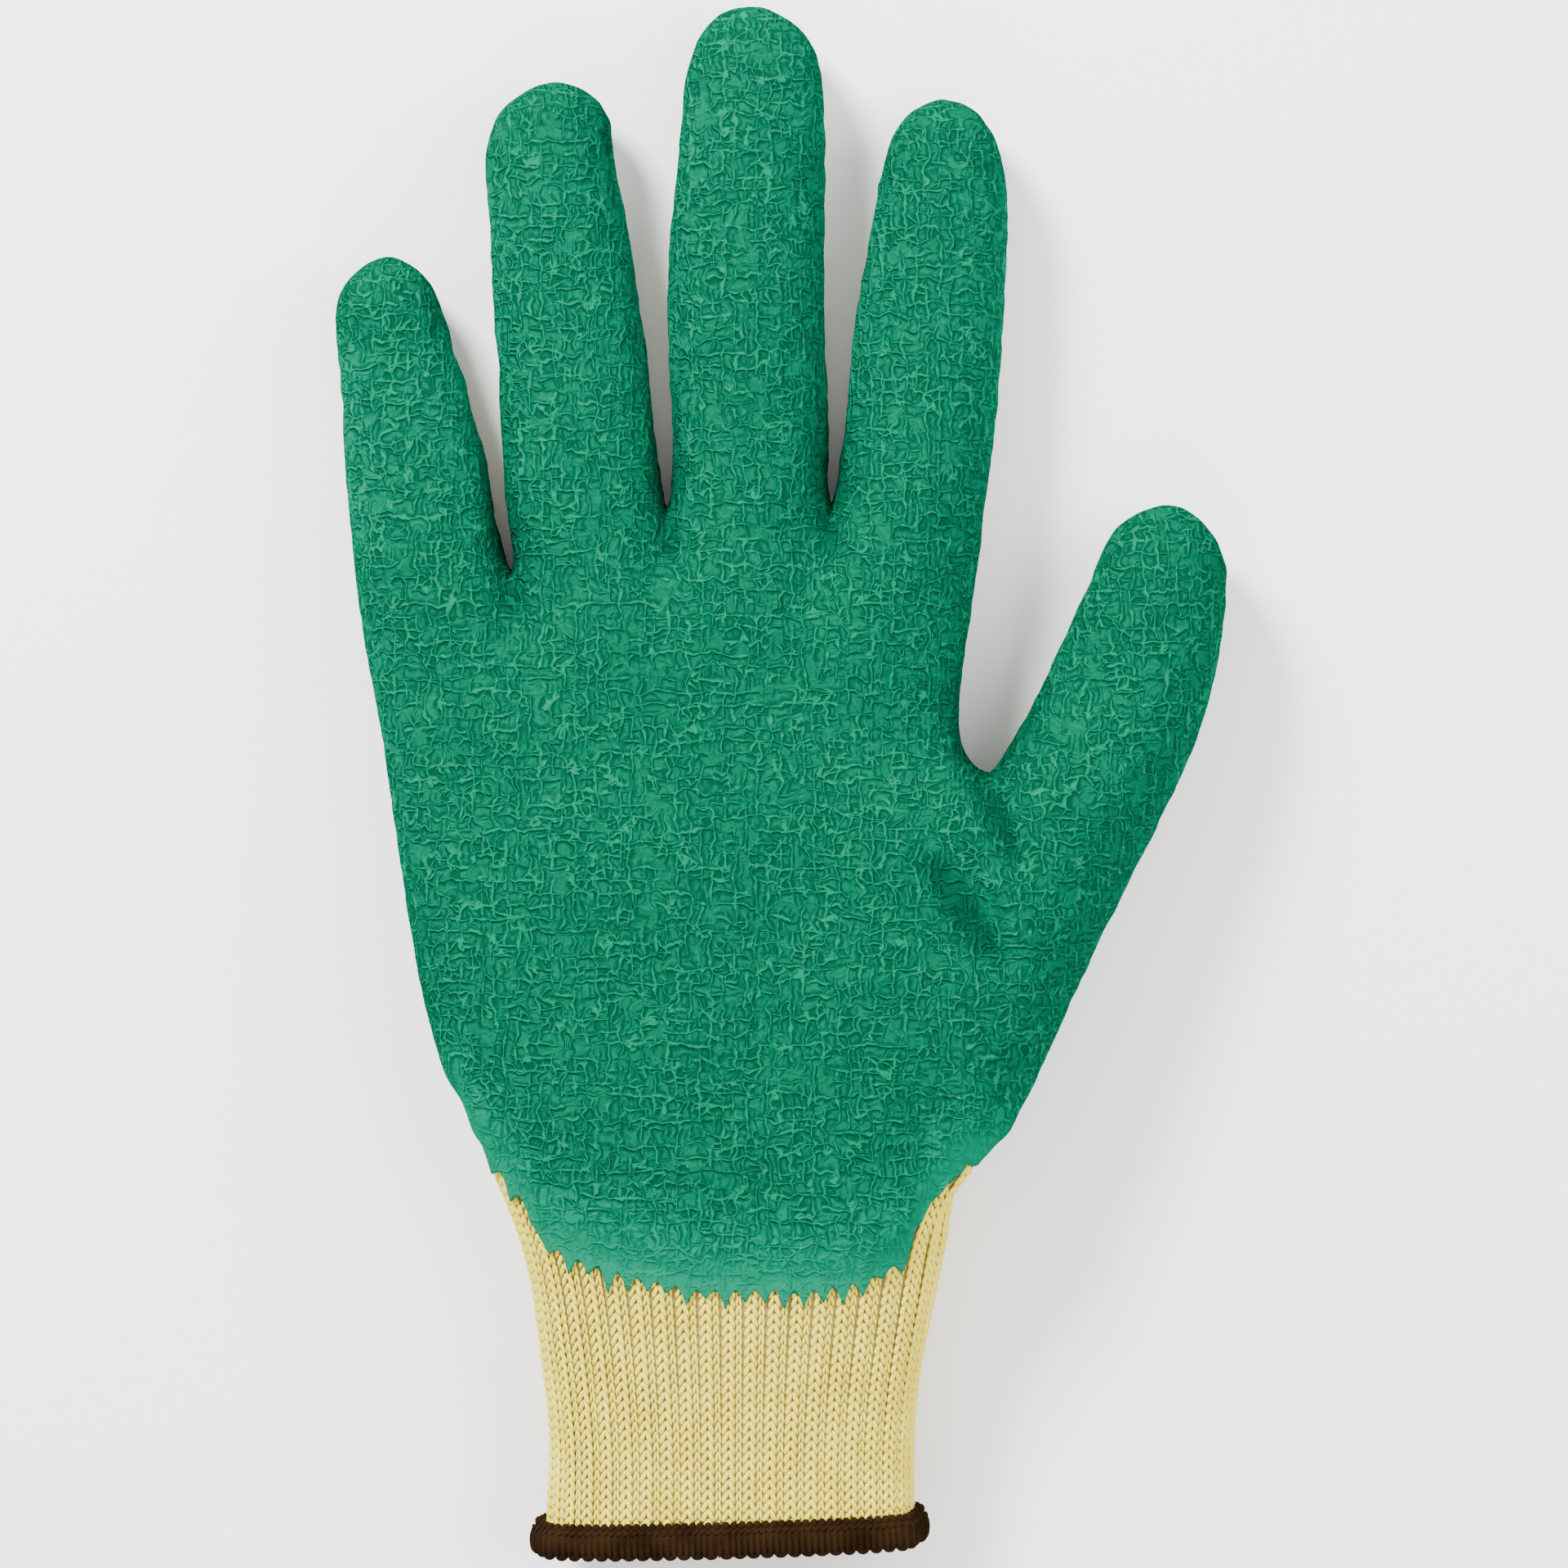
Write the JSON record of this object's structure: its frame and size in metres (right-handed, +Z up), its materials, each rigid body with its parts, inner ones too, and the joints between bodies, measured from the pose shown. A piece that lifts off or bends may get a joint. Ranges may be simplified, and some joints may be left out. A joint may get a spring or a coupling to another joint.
{
  "type": "latex-coated knitted work glove",
  "caption": "Right-hand work glove lying palm up: a knitted liner with a long ribbed cuff, a crinkled latex coat over palm, finger fronts and fingertips, and an overlocked hem.",
  "frame": {"origin": "on the resting surface under the middle of the glove's bounding box", "axes": "+X towards the thumb side, +Y towards the fingertips, +Z up out of the palm"},
  "size_m": [0.1434, 0.2496, 0.03],
  "materials": {
    "knit": "pale yellow knitted polycotton",
    "latex": "green crinkled latex, matt to satin",
    "hem": "dark brown overlock yarn"
  },
  "bodies": {
    "root": {"knit_liner": "knit", "latex_coating": "latex", "overlock_hem": "hem"}
  },
  "joints": []
}
